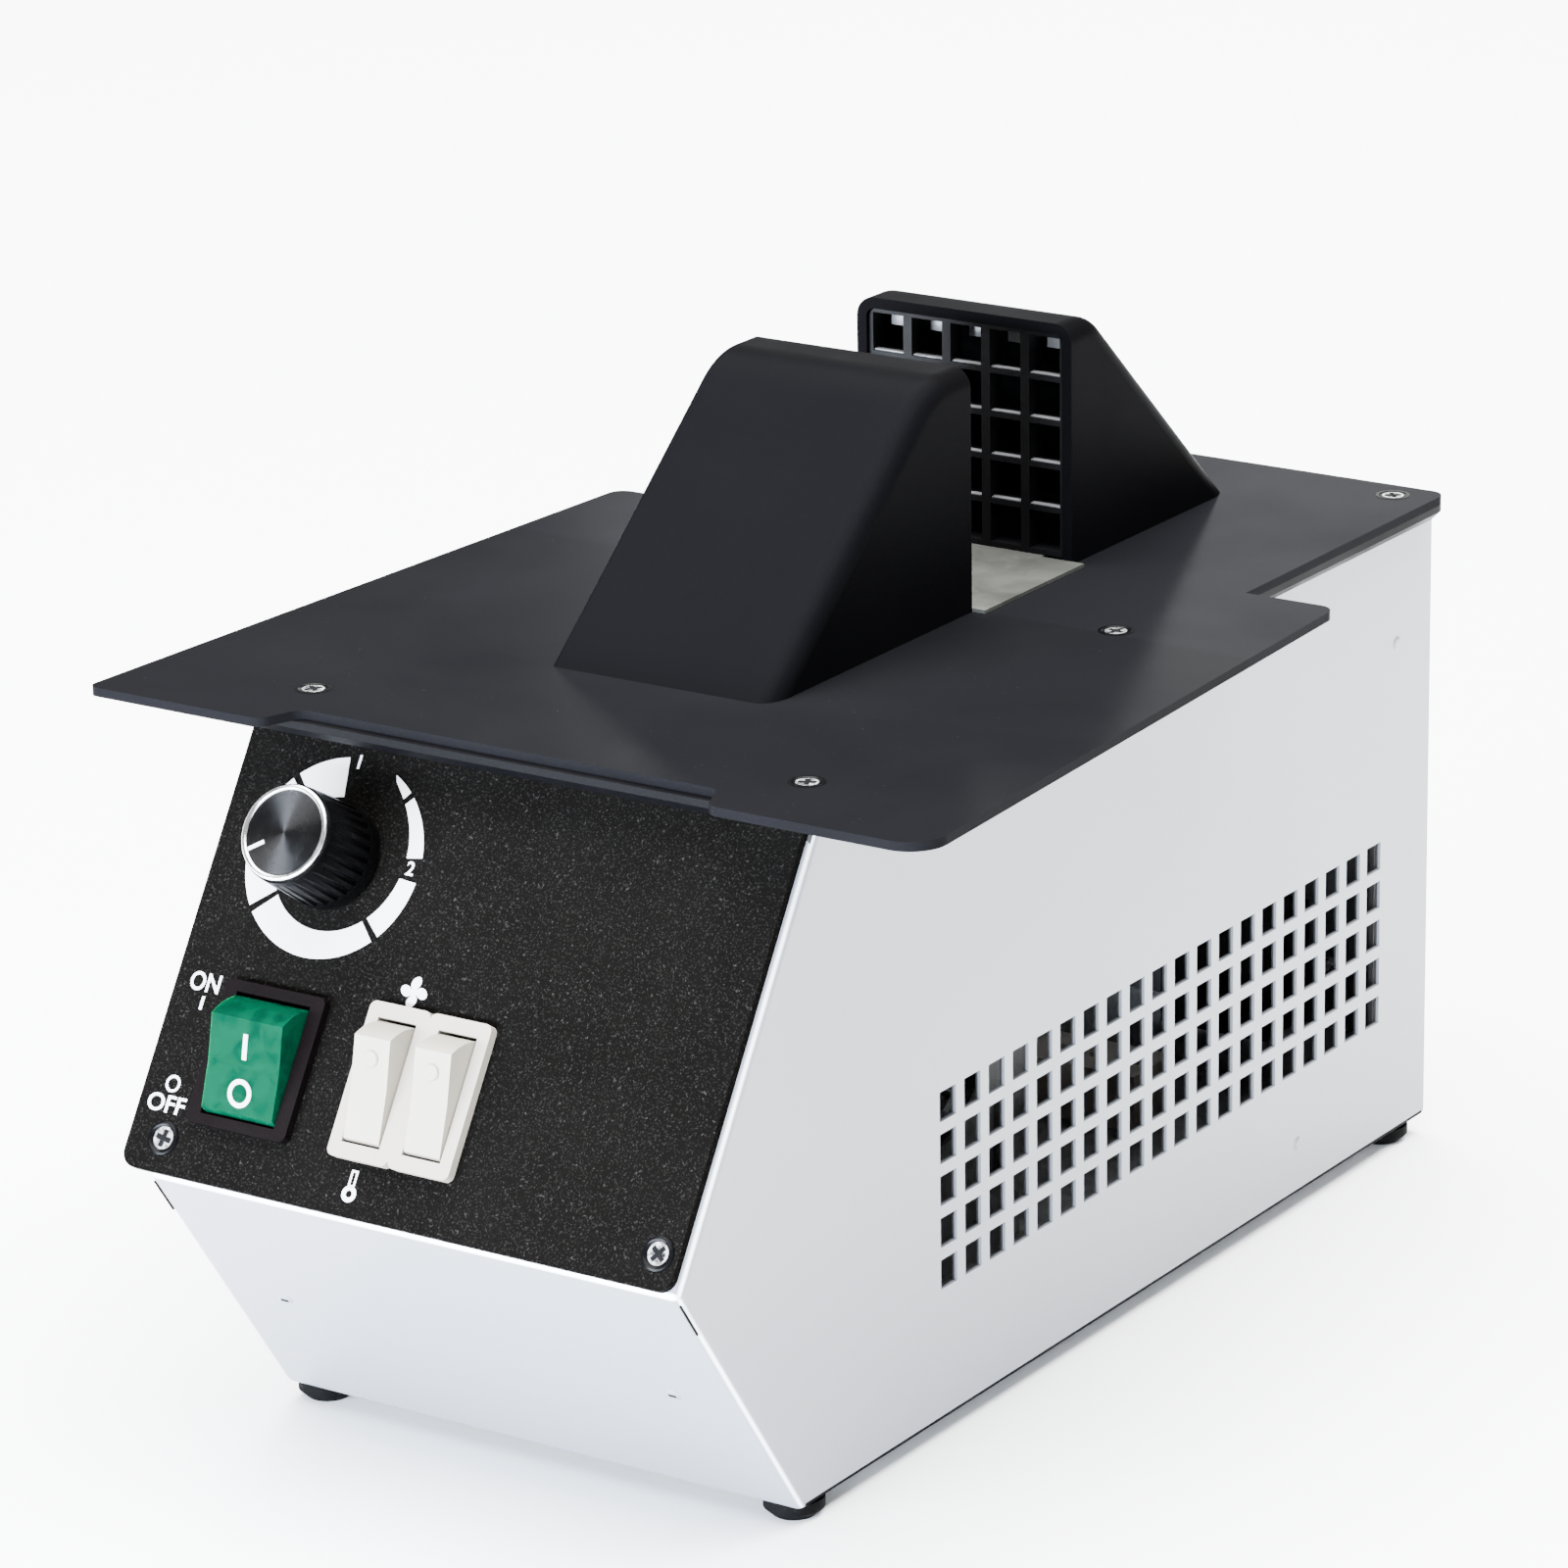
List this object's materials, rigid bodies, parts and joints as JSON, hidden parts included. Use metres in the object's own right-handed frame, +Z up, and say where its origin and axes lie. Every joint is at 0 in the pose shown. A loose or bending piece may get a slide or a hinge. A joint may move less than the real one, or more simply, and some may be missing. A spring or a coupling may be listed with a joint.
{
  "type": "eyeglass frame warmer",
  "caption": "Benchtop hot-air frame warmer: vented casing with a sloped control panel and two facing air hoods on a wide plate.",
  "frame": {"origin": "centre of the bounding box at floor level", "axes": "+X to the right when the control panel is seen from the front, +Y from the control panel to the mains inlet, +Z up"},
  "size_m": [0.207, 0.314, 0.2111],
  "materials": {
    "casing_paint": "satin powder coat",
    "black_plate": "matt powder coat",
    "panel_black": "fine-textured powder coat",
    "zinc": "galvanised",
    "screw_steel": "plated",
    "rubber": "matt",
    "grille_black": "matt",
    "bezel_dark": "satin",
    "cream": "satin",
    "green_lens": "glossy, translucent",
    "knob_black": "satin",
    "cap_metal": "spun",
    "black_plastic": "satin",
    "board_green": "solder mask",
    "sink_aluminium": "extruded",
    "capacitor": "satin",
    "mica": "matt",
    "heater_wire": "drawn",
    "winding": "enamelled",
    "laminations": "bare"
  },
  "bodies": {
    "chassis": {"casing_shell": "casing_paint", "back_panel": "casing_paint", "base_tray": "zinc", "side_rivets": "casing_paint", "front_rivets": "casing_paint", "back_screws": "screw_steel", "feet": "rubber", "foot_screws": "screw_steel", "rim_frame": "black_plate", "top_plate": "black_plate", "plate_screws": "screw_steel", "front_hood": "black_plate", "rear_hood": "black_plate", "front_grille": "grille_black", "rear_grille": "grille_black", "gap_floor": "zinc", "air_duct": "zinc", "blower_housing": "zinc", "blower_stand": "zinc", "motor_stator": "laminations", "motor_coil": "winding", "front_bearing_bracket": "zinc", "rear_bearing_bracket": "zinc", "motor_bolts": "screw_steel", "heater_boards": "mica", "heater_coils": "heater_wire", "thermal_cutout": "black_plastic", "control_board": "board_green", "board_standoffs": "black_plastic", "heat_sink": "sink_aluminium", "filter_capacitor": "capacitor", "terminal_block": "cream", "mains_inlet": "black_plastic", "fuse_drawer": "black_plastic", "inlet_screws": "screw_steel", "control_panel": "panel_black", "panel_screws": "screw_steel", "power_switch": "bezel_dark", "fan_switch": "cream", "heat_switch": "cream", "potentiometer": "black_plastic", "potentiometer_nut": "screw_steel"},
    "knob": {"knob": "knob_black", "knob_cap": "cap_metal", "control_shaft": "screw_steel"},
    "power_rocker": {"power_rocker": "green_lens"},
    "fan_rocker": {"fan_rocker": "cream"},
    "heat_rocker": {"heat_rocker": "cream"},
    "fan": {"impeller": "sink_aluminium", "motor_shaft": "screw_steel", "motor_rotor": "laminations"}
  },
  "joints": [
    {"name": "power_rocker_tilt", "type": "hinge", "parent": "chassis", "child": "power_rocker", "pos_m": [-0.0455, -0.14108, 0.08951], "axis": [1, 0, 0], "range_deg": [-36, 0]},
    {"name": "fan_rocker_tilt", "type": "hinge", "parent": "chassis", "child": "fan_rocker", "pos_m": [-0.0143, -0.14111, 0.09059], "axis": [1, 0, 0], "range_deg": [-36, 0]},
    {"name": "heat_rocker_tilt", "type": "hinge", "parent": "chassis", "child": "heat_rocker", "pos_m": [0.0009, -0.14111, 0.09059], "axis": [1, 0, 0], "range_deg": [-36, 0]},
    {"name": "knob_turn", "type": "hinge", "parent": "chassis", "child": "knob", "pos_m": [-0.0428, -0.11718, 0.12738], "axis": [0, -0.848, 0.5299], "range_deg": [-93, 207]},
    {"name": "fan_spin", "type": "hinge", "parent": "chassis", "child": "fan", "pos_m": [0, 0.00647, 0.06], "axis": [1, 0, 0], "continuous": true}
  ]
}
